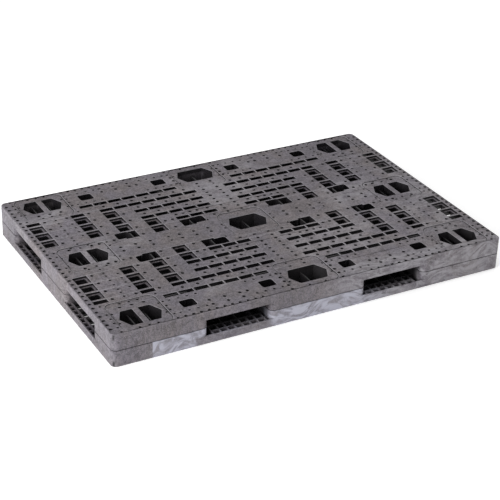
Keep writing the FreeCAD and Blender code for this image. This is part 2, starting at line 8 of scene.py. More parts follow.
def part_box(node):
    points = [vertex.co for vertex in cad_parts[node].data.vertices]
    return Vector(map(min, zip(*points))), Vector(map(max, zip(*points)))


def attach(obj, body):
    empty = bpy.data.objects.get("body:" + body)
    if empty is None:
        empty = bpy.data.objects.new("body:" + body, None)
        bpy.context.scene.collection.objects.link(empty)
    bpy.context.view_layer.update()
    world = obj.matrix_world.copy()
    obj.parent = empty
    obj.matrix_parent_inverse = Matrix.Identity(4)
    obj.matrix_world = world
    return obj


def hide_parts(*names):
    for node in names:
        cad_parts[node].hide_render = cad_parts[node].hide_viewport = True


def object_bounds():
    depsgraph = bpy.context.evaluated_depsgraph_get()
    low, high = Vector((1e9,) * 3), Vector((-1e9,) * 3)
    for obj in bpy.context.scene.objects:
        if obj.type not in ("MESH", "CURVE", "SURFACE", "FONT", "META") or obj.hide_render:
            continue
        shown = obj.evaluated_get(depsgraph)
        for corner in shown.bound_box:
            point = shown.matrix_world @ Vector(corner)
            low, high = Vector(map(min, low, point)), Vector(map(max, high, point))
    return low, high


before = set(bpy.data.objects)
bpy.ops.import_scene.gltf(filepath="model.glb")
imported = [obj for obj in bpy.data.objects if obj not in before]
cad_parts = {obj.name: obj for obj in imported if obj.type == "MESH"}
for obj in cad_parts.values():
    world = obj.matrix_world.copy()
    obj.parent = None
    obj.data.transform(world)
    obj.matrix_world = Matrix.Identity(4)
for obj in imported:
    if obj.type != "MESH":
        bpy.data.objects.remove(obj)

bl_info = {
    "name": "Reversible plastic pallet",
    "version": (1, 0, 0),
    "blender": (4, 5, 0),
    "location": "View3D > Sidebar > Pallet",
    "description": "Rounded deck skins, weld flash, mould marks and finishes for a recycled plastic pallet",
    "category": "Object",
}

MM = 0.001
CAD_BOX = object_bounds()
HEIGHT = CAD_BOX[1].z
SKIN_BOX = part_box("upper_deck_skin")
LATTICE_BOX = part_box("upper_rib_lattice")
ROWS = ("front", "middle", "rear")
COLUMNS = ("left", "centre", "right")
LEG_NAMES = [row + "_" + column for row in ROWS for column in COLUMNS]
SMALL_ANGLE = math.radians(35)
DECK_CORNER = 0.02
SHELF_DEPTH = 9.0 * MM  # of the shelf inside an open rib bay, below the deck surface
FLOOR_GAP = 0.0005  # between the floor and the underside, so that the two don't flicker

# Where the colour changes, in metres: each pair is where a fade starts and where it ends.
BRUSHED_Y = (-0.462, -0.40)
BRUSHED_X = (-0.05, 0.2)
PALE_START_X = (-0.612, -0.606)
PALE_END_X = (0.12, 0.34)
GREY_START_X = (-0.47, -0.44)
GREY_END_X = (-0.16, -0.19)
GREY_Z = (0.028, 0.032)


# ---------------------------------------------------------------- settings


class PalletShapeSettings(bpy.types.PropertyGroup):
    """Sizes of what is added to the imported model"""

    opening_round: bpy.props.FloatProperty(
        name="Opening rounding", description="Rounding around slots, windows and hand holes",
        default=0.9 * MM, min=0.0, unit="LENGTH")
    outer_round: bpy.props.FloatProperty(
        name="Outer rounding", description="Rounding where the deck meets the side faces",
        default=3.0 * MM, min=0.0, unit="LENGTH")
    drain_round: bpy.props.FloatProperty(
        name="Drain rounding", description="Rounding around the drain holes, which widens them at the deck",
        default=1.1 * MM, min=0.0, unit="LENGTH")
    drain_sides: bpy.props.IntProperty(
        name="Drain hole sides", description="Straight pieces in the edge of a drain hole", default=16, min=8)
    drain_limit: bpy.props.FloatProperty(
        name="Drain hole limit", description="An opening smaller than this both ways is a round drain hole",
        default=12.0 * MM, unit="LENGTH")
    bead_width: bpy.props.FloatProperty(
        name="Weld bead width", description="Width of the melted bead across the leg wall",
        default=3.6 * MM, unit="LENGTH")
    bead_round: bpy.props.FloatProperty(
        name="Weld corner", description="Radius of the bead's path at a leg corner",
        default=16.5 * MM, unit="LENGTH")
    bead_noise: bpy.props.FloatProperty(
        name="Weld unevenness", description="How far the bead wanders in and out",
        default=0.5 * MM, unit="LENGTH")
    line_radius: bpy.props.FloatProperty(
        name="Mould line radius", description="Radius of the raised mould lines",
        default=0.45 * MM, unit="LENGTH")
    line_sink: bpy.props.FloatProperty(
        name="Mould line sink", description="How deep a mould line's middle lies below the surface",
        default=0.2 * MM, unit="LENGTH")
    pin_radius: bpy.props.FloatProperty(
        name="Ejector pad radius", description="Radius of the pads at the rib crossings", default=5.5 * MM,
        unit="LENGTH")
    pin_height: bpy.props.FloatProperty(
        name="Ejector pad height", description="How far a pad stands out of the ribs", default=0.6 * MM,
        unit="LENGTH")
    rib_pitch: bpy.props.FloatProperty(
        name="Rib pitch", description="Spacing of the ribs, both ways", default=56.0 * MM, unit="LENGTH")
    band_line: bpy.props.FloatProperty(
        name="Band line", description="How far the line round the sides lies below the deck",
        default=0.017, unit="LENGTH")
    line_stop: bpy.props.FloatProperty(
        name="Line stop", description="How far below the deck the upright lines stop",
        default=0.0032, unit="LENGTH")
    deck_line_first: bpy.props.FloatProperty(
        name="First deck line", description="Its distance from the middle, in rib pitches", default=2.95)
    deck_line_second: bpy.props.FloatProperty(
        name="Second deck line", description="Its distance from the middle, in rib pitches", default=7.98)


class PalletFinishSettings(bpy.types.PropertyGroup):
    """Colours and surface of the recycled plastic, with the colour of the painted shade"""

    base: bpy.props.FloatVectorProperty(
        name="Plastic", description="Main colour of the recycled plastic", subtype="COLOR", size=3,
        default=(0.105, 0.094, 0.111), min=0.0, max=1.0)
    warm: bpy.props.FloatVectorProperty(
        name="Warm tint", description="Brownish patches from mixed feedstock", subtype="COLOR", size=3,
        default=(0.114, 0.099, 0.103), min=0.0, max=1.0)
    # The pale colour also serves as the painted highlight on the opening rims.
    pale: bpy.props.FloatVectorProperty(
        name="Pale streaks", description="Light flow marks", subtype="COLOR", size=3,
        default=(0.30, 0.29, 0.31), min=0.0, max=1.0)
    marble: bpy.props.FloatVectorProperty(
        name="Marbled grey", description="The pale batch that runs through the lower moulding",
        subtype="COLOR", size=3, default=(0.34, 0.34, 0.40), min=0.0, max=1.0)
    # Painted shade: the near-black colour painted on opening walls, grooves and sheltered faces in place of
    # the shade there.
    painted_shade: bpy.props.FloatVectorProperty(
        name="Painted_Shade", description="Dusty dark plastic inside openings", subtype="COLOR", size=3,
        default=(0.007, 0.0065, 0.0075), min=0.0, max=1.0)
    weld: bpy.props.FloatVectorProperty(
        name="Weld", description="Colour of the melted bead", subtype="COLOR", size=3,
        default=(0.022, 0.021, 0.023), min=0.0, max=1.0)
    roughness: bpy.props.FloatProperty(
        name="Roughness", description="Average roughness of the skin", default=0.52, min=0.0, max=1.0)


class PalletStageSettings(bpy.types.PropertyGroup):
    """Camera, floor and lights"""

    camera_place: bpy.props.FloatVectorProperty(
        name="Camera place", description="Where the camera stands", subtype="XYZ", unit="LENGTH",
        default=(-2.288, -4.055, 2.538))
    camera_aim: bpy.props.FloatVectorProperty(
        name="Camera aim", description="The point in the middle of the view", subtype="XYZ", unit="LENGTH",
        default=(-0.0976, -0.195, 0.12))
    camera_roll: bpy.props.FloatProperty(
        name="Camera roll", description="Turn of the camera about its own view axis", subtype="ANGLE",
        default=math.radians(1.985))
    lens: bpy.props.FloatProperty(
        name="Lens", description="Focal length on a 36 mm sensor", default=105.6, unit="CAMERA")
    floor_size: bpy.props.FloatProperty(
        name="Floor", description="Side of the floor", default=60.0, unit="LENGTH")
    floor_white: bpy.props.FloatProperty(
        name="Floor white", description="Brightness of the floor", default=0.93)
    world_light: bpy.props.FloatProperty(
        name="World light", description="Strength of the room's light", default=0.55)
    floor_glow: bpy.props.FloatProperty(
        name="Floor glow", description="Light given off by the floor", default=0.3)
    key_power: bpy.props.FloatProperty(
        name="Key", description="Soft light from the left", default=290.0, unit="POWER")
    key_place: bpy.props.FloatVectorProperty(
        name="Key place", description="Where the key light hangs", subtype="XYZ", unit="LENGTH",
        default=(-4.8, -1.6, 2.0))
    key_side: bpy.props.FloatProperty(
        name="Key side", description="Side of the square key light", default=3.2, unit="LENGTH")
    top_power: bpy.props.FloatProperty(
        name="Top", description="Soft light from above", default=55.0, unit="POWER")
    top_place: bpy.props.FloatVectorProperty(
        name="Top place", description="Where the top light hangs", subtype="XYZ", unit="LENGTH",
        default=(0.4, 0.8, 4.2))
    top_side: bpy.props.FloatProperty(
        name="Top side", description="Side of the square top light", default=4.0, unit="LENGTH")


# ---------------------------------------------------------------- shader groups


def new_group(name, inputs, outputs):
    tree = bpy.data.node_groups.new(name, "ShaderNodeTree")
    for label, kind, default in inputs:
        socket = tree.interface.new_socket(label, in_out="INPUT", socket_type=kind)
        if default is not None:
            socket.default_value = default
    for label, kind in outputs:
        tree.interface.new_socket(label, in_out="OUTPUT", socket_type=kind)
    return tree, tree.nodes.new("NodeGroupInput"), tree.nodes.new("NodeGroupOutput")


def math_node(tree, operation, first, second=None):
    node = tree.nodes.new("ShaderNodeMath")
    node.operation = operation
    for index, value in enumerate((first, second)):
        if value is None:
            continue
        if isinstance(value, (int, float)):
            node.inputs[index].default_value = value
        else:
            tree.links.new(value, node.inputs[index])
    return node.outputs[0]


def times(tree, first, second):
    return math_node(tree, "MULTIPLY", first, second)


def vector_node(tree, operation, first, second):
    node = tree.nodes.new("ShaderNodeVectorMath")
    node.operation = operation
    tree.links.new(first, node.inputs[0])
    if isinstance(second, tuple):
        node.inputs[1].default_value = second
    elif isinstance(second, (int, float)):
        node.inputs["Scale"].default_value = second
    else:
        tree.links.new(second, node.inputs["Scale" if operation == "SCALE" else 1])
    return node.outputs[0]


def noise_node(tree, vector, scale, detail, roughness=0.5, distortion=0.0):
    node = tree.nodes.new("ShaderNodeTexNoise")
    node.inputs["Detail"].default_value = detail
    node.inputs["Roughness"].default_value = roughness
    node.inputs["Distortion"].default_value = distortion
    if isinstance(scale, (int, float)):
        node.inputs["Scale"].default_value = scale
    else:
        tree.links.new(scale, node.inputs["Scale"])
    tree.links.new(vector, node.inputs["Vector"])
    return node


def range_node(tree, value, low, high, to_low=0.0, to_high=1.0):
    node = tree.nodes.new("ShaderNodeMapRange")
    node.interpolation_type = "SMOOTHSTEP"
    tree.links.new(value, node.inputs["Value"])
    for label, number in (("From Min", low), ("From Max", high), ("To Min", to_low), ("To Max", to_high)):
        if isinstance(number, (int, float)):
            node.inputs[label].default_value = number
        else:
            tree.links.new(number, node.inputs[label])
    return node.outputs["Result"]


def mix_colour(tree, factor, first, second, blend="MIX"):
    node = tree.nodes.new("ShaderNodeMix")
    node.data_type = "RGBA"
    node.blend_type = blend
    for socket, value in ((node.inputs[0], factor), (node.inputs[6], first), (node.inputs[7], second)):
        if isinstance(value, (int, float)):
            socket.default_value = value
        elif isinstance(value, bpy.types.NodeSocket):
            tree.links.new(value, socket)
        else:
            socket.default_value = (*value, 1.0)
    return node.outputs[2]


def make_flow_group():
    """Swirled flow marks: a mask of thin veins and a mask of broad clouds."""
    tree, given, result = new_group(
        "flow_marks",
        (("Vector", "NodeSocketVector", None), ("Scale", "NodeSocketFloat", 20.0),
         ("Warp", "NodeSocketFloat", 0.06)),
        (("Veins", "NodeSocketFloat"), ("Clouds", "NodeSocketFloat")))
    upright = vector_node(tree, "MULTIPLY", given.outputs["Vector"], (1.0, 1.0, 0.45))
    bend = noise_node(tree, upright, times(tree, given.outputs["Scale"], 0.3), 2.0)
    shift = vector_node(tree, "SUBTRACT", bend.outputs["Color"], (0.5, 0.5, 0.5))
    shift = vector_node(tree, "SCALE", shift, given.outputs["Warp"])
    warped = vector_node(tree, "ADD", upright, shift)
    fine = noise_node(tree, warped, given.outputs["Scale"], 5.0, 0.55)
    ridge = math_node(tree, "ABSOLUTE", math_node(tree, "SUBTRACT", fine.outputs["Fac"], 0.5))
    veins = range_node(tree, ridge, 0.0, 0.085, 1.0, 0.0)
    broad = noise_node(tree, warped, times(tree, given.outputs["Scale"], 0.35), 4.0, 0.6)
    clouds = range_node(tree, broad.outputs["Fac"], 0.36, 0.66)
    tree.links.new(veins, result.inputs["Veins"])
    tree.links.new(clouds, result.inputs["Clouds"])
    return tree


def make_feather_group():
    """Feathered strokes, as where two batches of plastic met in the mould."""
    tree, given, result = new_group(
        "feather_marks",
        (("Vector", "NodeSocketVector", None), ("Scale", "NodeSocketFloat", 1.0)),
        (("Strokes", "NodeSocketFloat"),))
    scaled = vector_node(tree, "SCALE", given.outputs["Vector"], given.outputs["Scale"])
    bend = noise_node(tree, scaled, 7.0, 1.0)
    shift = vector_node(tree, "SUBTRACT", bend.outputs["Color"], (0.5, 0.5, 0.5))
    shift = vector_node(tree, "SCALE", shift, 0.15)
    tilted = tree.nodes.new("ShaderNodeMapping")
    tilted.inputs["Rotation"].default_value = (math.radians(38.0), math.radians(38.0), math.radians(30.0))
    tilted.inputs["Scale"].default_value = (15.0, 54.0, 54.0)
    tree.links.new(vector_node(tree, "ADD", scaled, shift), tilted.inputs["Vector"])
    strokes = noise_node(tree, tilted.outputs["Vector"], 1.0, 4.0, 0.6, 0.5).outputs["Fac"]
    tree.links.new(range_node(tree, strokes, 0.34, 0.66), result.inputs["Strokes"])
    return tree


def make_surface_group():
    """Moulded texture, scratches, rubbed outer edges and a painted shade mask for sheltered faces, by place.
    """
    tree, given, result = new_group(
        "moulded_surface",
        (("Vector", "NodeSocketVector", None), ("Facing", "NodeSocketVector", None),
         ("Half Length", "NodeSocketFloat", 0.75), ("Half Width", "NodeSocketFloat", 0.5),
         ("Height", "NodeSocketFloat", 0.12), ("Shelf Depth", "NodeSocketFloat", 0.009)),
        (("Texture", "NodeSocketFloat"), ("Scratches", "NodeSocketFloat"), ("Rubbed", "NodeSocketFloat"),
         ("Painted_Shade", "NodeSocketFloat"), ("Mottle", "NodeSocketFloat")))
    place = given.outputs["Vector"]
    speckle = noise_node(tree, place, 230.0, 4.0, 0.62, 0.4).outputs["Fac"]
    streaked = vector_node(tree, "MULTIPLY", place, (1.0, 1.0, 0.7))
    smears = noise_node(tree, streaked, 52.0, 4.0, 0.6, 1.6).outputs["Fac"]
    mottle = math_node(tree, "ADD", times(tree, speckle, 0.55), times(tree, smears, 0.45))
    grain = noise_node(tree, place, 950.0, 3.0, 0.6).outputs["Fac"]
    swell = noise_node(tree, place, 38.0, 3.0, 0.5).outputs["Fac"]
    texture = math_node(tree, "ADD", times(tree, grain, 0.35), times(tree, swell, 0.9))
    tilted = tree.nodes.new("ShaderNodeMapping")
    tilted.inputs["Rotation"].default_value = (0.0, 0.0, math.radians(23.0))
    tilted.inputs["Scale"].default_value = (9.0, 420.0, 60.0)
    tree.links.new(place, tilted.inputs["Vector"])
    lines = noise_node(tree, tilted.outputs["Vector"], 1.0, 2.0, 0.5, 0.15).outputs["Fac"]
    where = noise_node(tree, place, 9.0, 2.0).outputs["Fac"]
    scratches = times(tree, range_node(tree, lines, 0.66, 0.74), range_node(tree, where, 0.5, 0.68))
    split = tree.nodes.new("ShaderNodeSeparateXYZ")
    tree.links.new(place, split.inputs[0])
    to_end = math_node(tree, "SUBTRACT", given.outputs["Half Length"],
                       math_node(tree, "ABSOLUTE", split.outputs["X"]))
    to_side = math_node(tree, "SUBTRACT", given.outputs["Half Width"],
                        math_node(tree, "ABSOLUTE", split.outputs["Y"]))
    half_height = times(tree, given.outputs["Height"], 0.5)
    to_face = math_node(tree, "SUBTRACT", half_height, math_node(
        tree, "ABSOLUTE", math_node(tree, "SUBTRACT", split.outputs["Z"], half_height)))
    inward = math_node(tree, "MINIMUM", to_end, to_side)
    upper_edge = math_node(tree, "MAXIMUM", inward, to_face)
    corner = times(tree, math_node(tree, "MAXIMUM", to_end, to_side), 0.35)
    nearest = math_node(tree, "MINIMUM", upper_edge, corner)
    patchy = noise_node(tree, place, 60.0, 4.0, 0.65).outputs["Fac"]
    edge = range_node(tree, nearest, 0.0005, 0.0065, 1.0, 0.0)
    wear_and_highlight = times(tree, edge, range_node(tree, patchy, 0.35, 0.62))
    # Painted shade: faces a little below the deck, behind the rim and further in behind the legs are marked
    # to be darkened as if shaded.
    near_deck = range_node(tree, to_face, 0.014, 0.030, 1.0, 0.0)
    behind_rim = times(tree, near_deck, range_node(tree, inward, 0.0015, 0.006))
    behind_leg = range_node(tree, inward, 0.006, 0.05)
    covered = math_node(tree, "MAXIMUM", behind_rim, behind_leg)
    painted_shade_mask = times(tree, range_node(tree, to_face, 0.0009, 0.0035), covered)
    # Level faces at the shelf depth, which light reaches, are mostly left out of the painted shade.
    facing = tree.nodes.new("ShaderNodeSeparateXYZ")
    tree.links.new(given.outputs["Facing"], facing.inputs[0])
    level = range_node(tree, math_node(tree, "ABSOLUTE", facing.outputs["Z"]), 0.6, 0.9)
    off_shelf = math_node(tree, "SUBTRACT", to_face, given.outputs["Shelf Depth"])
    off_shelf = math_node(tree, "ABSOLUTE", off_shelf)
    on_shelf = times(tree, level, range_node(tree, off_shelf, 0.0004, 0.0008, 0.85, 0.0))
    painted_shade_mask = times(tree, painted_shade_mask, math_node(tree, "SUBTRACT", 1.0, on_shelf))
    for label, value in (("Texture", texture), ("Scratches", scratches), ("Rubbed", wear_and_highlight),
                         ("Painted_Shade", painted_shade_mask), ("Mottle", mottle)):
        tree.links.new(value, result.inputs[label])
    return tree


def group_node(tree, group, values):
    node = tree.nodes.new("ShaderNodeGroup")
    node.node_tree = group
    for label, value in values.items():
        if isinstance(value, bpy.types.NodeSocket):
            tree.links.new(value, node.inputs[label])
        else:
            node.inputs[label].default_value = value
    return node


def attribute_node(tree, name):
    node = tree.nodes.new("ShaderNodeAttribute")
    node.attribute_name = name
    return node.outputs["Fac"]


def plastic_material(name, groups, finish, marbled):
    """Clouded recycled plastic with pale flow marks; the marbled one has a pale batch in its length."""
    material = bpy.data.materials.new(name)
    material.use_nodes = True
    tree = material.node_tree
    shader = tree.nodes["Principled BSDF"]
    coordinates = tree.nodes.new("ShaderNodeTexCoord")
    place = coordinates.outputs["Object"]
    flow = group_node(tree, groups["flow"], {"Vector": place, "Scale": 26.0, "Warp": 0.09})
    surface = group_node(tree, groups["surface"], {
        "Vector": place, "Facing": coordinates.outputs["Normal"], "Half Length": CAD_BOX[1].x,
        "Half Width": CAD_BOX[1].y, "Height": HEIGHT, "Shelf Depth": SHELF_DEPTH})
    colour = mix_colour(tree, flow.outputs["Clouds"], finish.base, finish.warm)
    patches = noise_node(tree, place, 3.2, 3.0, 0.55).outputs["Fac"]
    tone = range_node(tree, patches, 0.3, 0.7, 0.9, 1.12)
    tone = times(tree, tone, range_node(tree, surface.outputs["Mottle"], 0.37, 0.63, 0.5, 1.5))
    shade = tree.nodes.new("ShaderNodeCombineXYZ")
    for index in range(3):
        tree.links.new(tone, shade.inputs[index])
    colour = mix_colour(tree, 1.0, colour, shade.outputs[0], "MULTIPLY")
    where = noise_node(tree, place, 4.5, 2.0).outputs["Fac"]
    vein_amount = times(tree, flow.outputs["Veins"], range_node(tree, where, 0.5, 0.68, 0.0, 0.2))
    colour = mix_colour(tree, vein_amount, colour, finish.pale)
    feather = group_node(tree, groups["feather"], {"Vector": place, "Scale": 1.0}).outputs["Strokes"]
    split = tree.nodes.new("ShaderNodeSeparateXYZ")
    tree.links.new(place, split.inputs[0])
    by_front = range_node(tree, split.outputs["Y"], *BRUSHED_Y, 1.0, 0.0)
    right_half = range_node(tree, split.outputs["X"], *BRUSHED_X)
    brushed = times(tree, times(tree, by_front, right_half), 0.8)
    brushed = math_node(tree, "MAXIMUM", brushed, range_node(tree, where, 0.52, 0.68, 0.06, 0.5))
    colour = mix_colour(tree, times(tree, times(tree, feather, brushed), 0.85),
                        colour, finish.pale)
    if marbled:
        jitter = times(tree, noise_node(tree, place, 30.0, 2.0).outputs["Fac"], 0.006)
        along = math_node(tree, "ADD", split.outputs["X"], jitter)
        start = range_node(tree, along, *PALE_START_X)
        end = range_node(tree, split.outputs["X"], *PALE_END_X, 1.0, 0.0)
        region = times(tree, start, end)
        under_fork = times(tree, range_node(tree, along, *GREY_START_X), range_node(tree, along, *GREY_END_X))
        low_band = range_node(tree, split.outputs["Z"], *GREY_Z, 1.0, 0.0)
        grey_band = times(tree, times(tree, under_fork, low_band), 0.85)
        region = times(tree, region, math_node(tree, "SUBTRACT", 1.0, grey_band))
        pale_part = range_node(tree, feather, 0.0, 1.0, 0.32, 1.0)
        pale_part = times(tree, pale_part, region)
        colour = mix_colour(tree, pale_part, colour, finish.marble)
    colour = mix_colour(tree, times(tree, surface.outputs["Scratches"], 0.35), colour, finish.pale)
    colour = mix_colour(tree, times(tree, surface.outputs["Rubbed"], 0.16), colour, finish.pale)
    # Painted highlight: the rim attribute lightens the rounded opening edges towards the pale colour.
    colour = mix_colour(tree, times(tree, attribute_node(tree, "rim"), 0.7), colour, finish.pale)
    # Painted shade: where the shade mask or the inside attribute is set, the colour is darkened towards the
    # painted shade colour.
    painted_shade_mask = math_node(tree, "MAXIMUM", surface.outputs["Painted_Shade"], attribute_node(tree, "inside"))
    colour = mix_colour(tree, times(tree, painted_shade_mask, 0.93), colour, finish.painted_shade)
    tree.links.new(colour, shader.inputs["Base Color"])
    smoothest, roughest = finish.roughness - 0.08, finish.roughness + 0.08
    rough = range_node(tree, flow.outputs["Clouds"], 0.0, 1.0, smoothest, roughest)
    rough = math_node(tree, "ADD", rough, times(tree, surface.outputs["Rubbed"], 0.12))
    rough = math_node(tree, "SUBTRACT", rough, times(tree, painted_shade_mask, 0.2))
    tree.links.new(rough, shader.inputs["Roughness"])
    shader.inputs["IOR"].default_value = 1.49
    shader.inputs["Specular IOR Level"].default_value = 0.42
    height = math_node(tree, "ADD", surface.outputs["Texture"],
                       times(tree, surface.outputs["Scratches"], -0.5))
    bump = tree.nodes.new("ShaderNodeBump")
    bump.inputs["Strength"].default_value = 0.35
    bump.inputs["Distance"].default_value = 0.0012
    tree.links.new(height, bump.inputs["Height"])
    tree.links.new(bump.outputs["Normal"], shader.inputs["Normal"])
    return material


def weld_material(groups, finish):
    """Dark, glossy plastic that melted and set again."""
    material = bpy.data.materials.new("melted_plastic")
    material.use_nodes = True
    tree = material.node_tree
    shader = tree.nodes["Principled BSDF"]
    place = tree.nodes.new("ShaderNodeTexCoord").outputs["Object"]
    flow = group_node(tree, groups["flow"], {"Vector": place, "Scale": 90.0, "Warp": 0.02})
    colour = mix_colour(tree, flow.outputs["Clouds"], finish.weld, finish.base)
    colour = mix_colour(tree, 0.65, colour, finish.weld)
    tree.links.new(colour, shader.inputs["Base Color"])
    tree.links.new(range_node(tree, flow.outputs["Veins"], 0.0, 1.0, 0.42, 0.62), shader.inputs["Roughness"])
    bump = tree.nodes.new("ShaderNodeBump")
    bump.inputs["Strength"].default_value = 0.4
    bump.inputs["Distance"].default_value = 0.0006
    tree.links.new(noise_node(tree, place, 320.0, 3.0).outputs["Fac"], bump.inputs["Height"])
    tree.links.new(bump.outputs["Normal"], shader.inputs["Normal"])
    return material


# ---------------------------------------------------------------- mesh helpers


def link_object(name, mesh):
    piece = bpy.data.objects.new(name, mesh)
    bpy.context.scene.collection.objects.link(piece)
    return piece


def merged_copy(node):
    """The CAD node's mesh as a bmesh with its loose triangles joined."""
    built = bmesh.new()
    built.from_mesh(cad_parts[node].data)
    bmesh.ops.remove_doubles(built, verts=built.verts, dist=1e-5)
    return built


def flat_levels(built, facing):
    """Heights of the flat faces that look up (1) or down (-1), from low to high."""
    found = {round(face.calc_center_median().z, 4) for face in built.faces if face.normal.z * facing > 0.9999}
    levels = []
    for level in sorted(found):
        if not levels or level - levels[-1] > 0.0003:
            levels.append(level)
    return levels


def loops_at(built, level):
    """Closed outlines, as lists of (x, y), of the flat faces that lie at one height."""
    flat = set()
    for face in built.faces:
        if abs(face.normal.z) > 0.9999 and abs(face.calc_center_median().z - level) < 1e-4:
            flat.add(face.index)
    follow = {}
    for edge in built.edges:
        inside = [face for face in edge.link_faces if face.index in flat]
        if len(inside) == 1:
            first, second = edge.verts
            follow.setdefault(first.index, []).append(second)
            follow.setdefault(second.index, []).append(first)
    built.verts.ensure_lookup_table()
    unused = set(follow)
    loops = []
    while unused:
        start = min(unused)
        loop = []
        here = start
        while here in unused:
            unused.discard(here)
            loop.append(built.verts[here].co.xy.copy())
            onward = [vert.index for vert in follow[here] if vert.index in unused]
            if not onward:
                break
            here = onward[0]
        loops.append(loop)
    return loops


def loop_box(loop):
    low = Vector((min(point.x for point in loop), min(point.y for point in loop)))
    high = Vector((max(point.x for point in loop), max(point.y for point in loop)))
    return low, high


def even_drain(loop, shape):
    """A drain hole's outline redrawn with few, even sides; any other outline stays."""
    low, high = loop_box(loop)
    if max(high - low) > shape.drain_limit:
        return loop
    centre = (low + high) / 2
    radius = (high.x - low.x) / 2
    turn = 2 * math.pi / shape.drain_sides
    angles = [i * turn for i in range(shape.drain_sides)]
    return [centre + Vector((math.cos(angle), math.sin(angle))) * radius for angle in angles]


def filled_plate(loops, low, high):
    """A flat plate between two heights, from its outline and openings, as a bmesh."""
    curve = bpy.data.curves.new("outline", "CURVE")
    curve.dimensions = "2D"
    curve.fill_mode = "BOTH"
    curve.extrude = (high - low) / 2
    for loop in loops:
        spline = curve.splines.new("POLY")
        spline.points.add(len(loop) - 1)
        for point, place in zip(spline.points, loop):
            point.co = (place.x, place.y, 0.0, 1.0)
        spline.use_cyclic_u = True
    holder = link_object("outline", curve)
    bpy.context.view_layer.update()
    mesh = bpy.data.meshes.new_from_object(holder.evaluated_get(bpy.context.evaluated_depsgraph_get()))
    bpy.data.objects.remove(holder)
    bpy.data.curves.remove(curve)
    mesh.transform(Matrix.Translation((0.0, 0.0, (low + high) / 2)))
    plate = bmesh.new()
    plate.from_mesh(mesh)
    bpy.data.meshes.remove(mesh)
    bmesh.ops.remove_doubles(plate, verts=plate.verts, dist=2e-6)
    bmesh.ops.recalc_face_normals(plate, faces=plate.faces)
    return plate


def is_outer(point):
    """Whether a point lies on the outer outline of the deck."""
    half_x, half_y, corner = CAD_BOX[1].x, CAD_BOX[1].y, DECK_CORNER
    if abs(abs(point.x) - half_x) < 1e-5 or abs(abs(point.y) - half_y) < 1e-5:
        return True
    past = Vector((abs(point.x) - half_x + corner, abs(point.y) - half_y + corner))
    return past.x > 0 and past.y > 0 and past.length > corner * 0.95


def round_top(plate, high, shape, with_outer):
    """Rounds every top edge, each kind by its own radius, marks the opening rims for a painted highlight and
    the opening walls and drain roundings for painted shade.
    """
    wear_and_highlight = plate.faces.layers.float.new("rim")
    inside = plate.faces.layers.float.new("inside")
    groups = {"outer": [], "opening": [], "drain": []}
    longest_drain_edge = shape.drain_limit / 5
    for face in plate.faces:
        face.smooth = False
        # Opening walls are marked for painted shade.
        if abs(face.normal.z) < 0.5 and not is_outer(face.calc_center_median()):
            face[inside] = 1.0
    for edge in plate.edges:
        at_top = all(abs(vert.co.z - high) < 1e-6 for vert in edge.verts)
        if not at_top or edge.calc_face_angle(0.0) < SMALL_ANGLE:
            continue
        middle = (edge.verts[0].co + edge.verts[1].co) / 2
        if is_outer(middle):
            groups["outer"].append(edge)
        elif edge.calc_length() < longest_drain_edge and drain_like(edge):
            groups["drain"].append(edge)
        else:
            groups["opening"].append(edge)
    if not with_outer:
        groups["outer"] = []
    # Opening roundings are marked for a painted highlight, drain roundings for painted shade.
    for kind, radius, segments, pale, dark in (("outer", shape.outer_round, 4, 0.0, 0.0),
                                               ("opening", shape.opening_round, 2, 1.0, 0.0),
                                               ("drain", shape.drain_round, 1, 0.0, 1.0)):
        edges = [edge for edge in groups[kind] if edge.is_valid]
        if not edges:
            continue
        made = bmesh.ops.bevel(plate, geom=edges, offset=radius, segments=segments, profile=0.5,
                               affect="EDGES", clamp_overlap=False, offset_type="OFFSET")
        for face in made["faces"]:
            face.smooth = True
            face[wear_and_highlight] = pale
            face[inside] = dark


def drain_like(edge):
    """Whether an edge belongs to a small round opening: all the walls turn inwards by the same angle."""
    step = 2 * math.pi / bpy.context.scene.pallet_shape.drain_sides
    turns = []
    for vert in edge.verts:
        beside = [other for other in vert.link_edges
                  if other is not edge and abs(other.verts[0].co.z - other.verts[1].co.z) < 1e-6
                  and other.calc_face_angle(0.0) > SMALL_ANGLE]
        for other in beside:
            first = edge.other_vert(vert).co - vert.co
            second = other.other_vert(vert).co - vert.co
            turns.append(math.pi - first.angle(second))
    return len(turns) == 2 and all(abs(turn - step) < 0.03 for turn in turns)


def append_bmesh(target, extra):
    mesh = bpy.data.meshes.new("part")
    extra.to_mesh(mesh)
    target.from_mesh(mesh)
    bpy.data.meshes.remove(mesh)


def build_skin(shape):
    """The upper skin, rounded around every opening, as one mesh."""
    source = merged_copy("upper_deck_skin")
    base, top = SKIN_BOX[0].z, SKIN_BOX[1].z
    groove, panel = flat_levels(source, 1)[:2]
    top_loops = loops_at(source, top)
    outline = max(loops_at(source, base), key=lambda loop: loop_box(loop)[1].x)
    inner_outline = max(top_loops, key=lambda loop: loop_box(loop)[1].x)
    top_loops = [outline if loop is inner_outline else even_drain(loop, shape) for loop in top_loops]
    plate = filled_plate(top_loops, base, top)
    round_top(plate, top, shape, True)
    panels = filled_plate([even_drain(loop, shape) for loop in loops_at(source, panel)], base, panel)
    round_top(panels, panel, shape, False)
    append_bmesh(plate, panels)
    grooves = filled_plate(loops_at(source, groove), base, groove)
    grooves.faces.layers.float.new("rim")
    dark = grooves.faces.layers.float.new("inside")
    # The panel grooves are marked for painted shade.
    for face in grooves.faces:
        face.smooth = False
        face[dark] = 1.0
    append_bmesh(plate, grooves)
    mesh = bpy.data.meshes.new("deck_skin")
    plate.to_mesh(mesh)
    return mesh


def turned_over(mesh):
    """The same mesh mirrored about mid height, its faces still pointing outwards."""
    other = mesh.copy()
    other.transform(Matrix.Translation((0.0, 0.0, HEIGHT)) @ Matrix.Diagonal((1.0, 1.0, -1.0, 1.0)))
    other.flip_normals()
    return other


# ---------------------------------------------------------------- geometry nodes


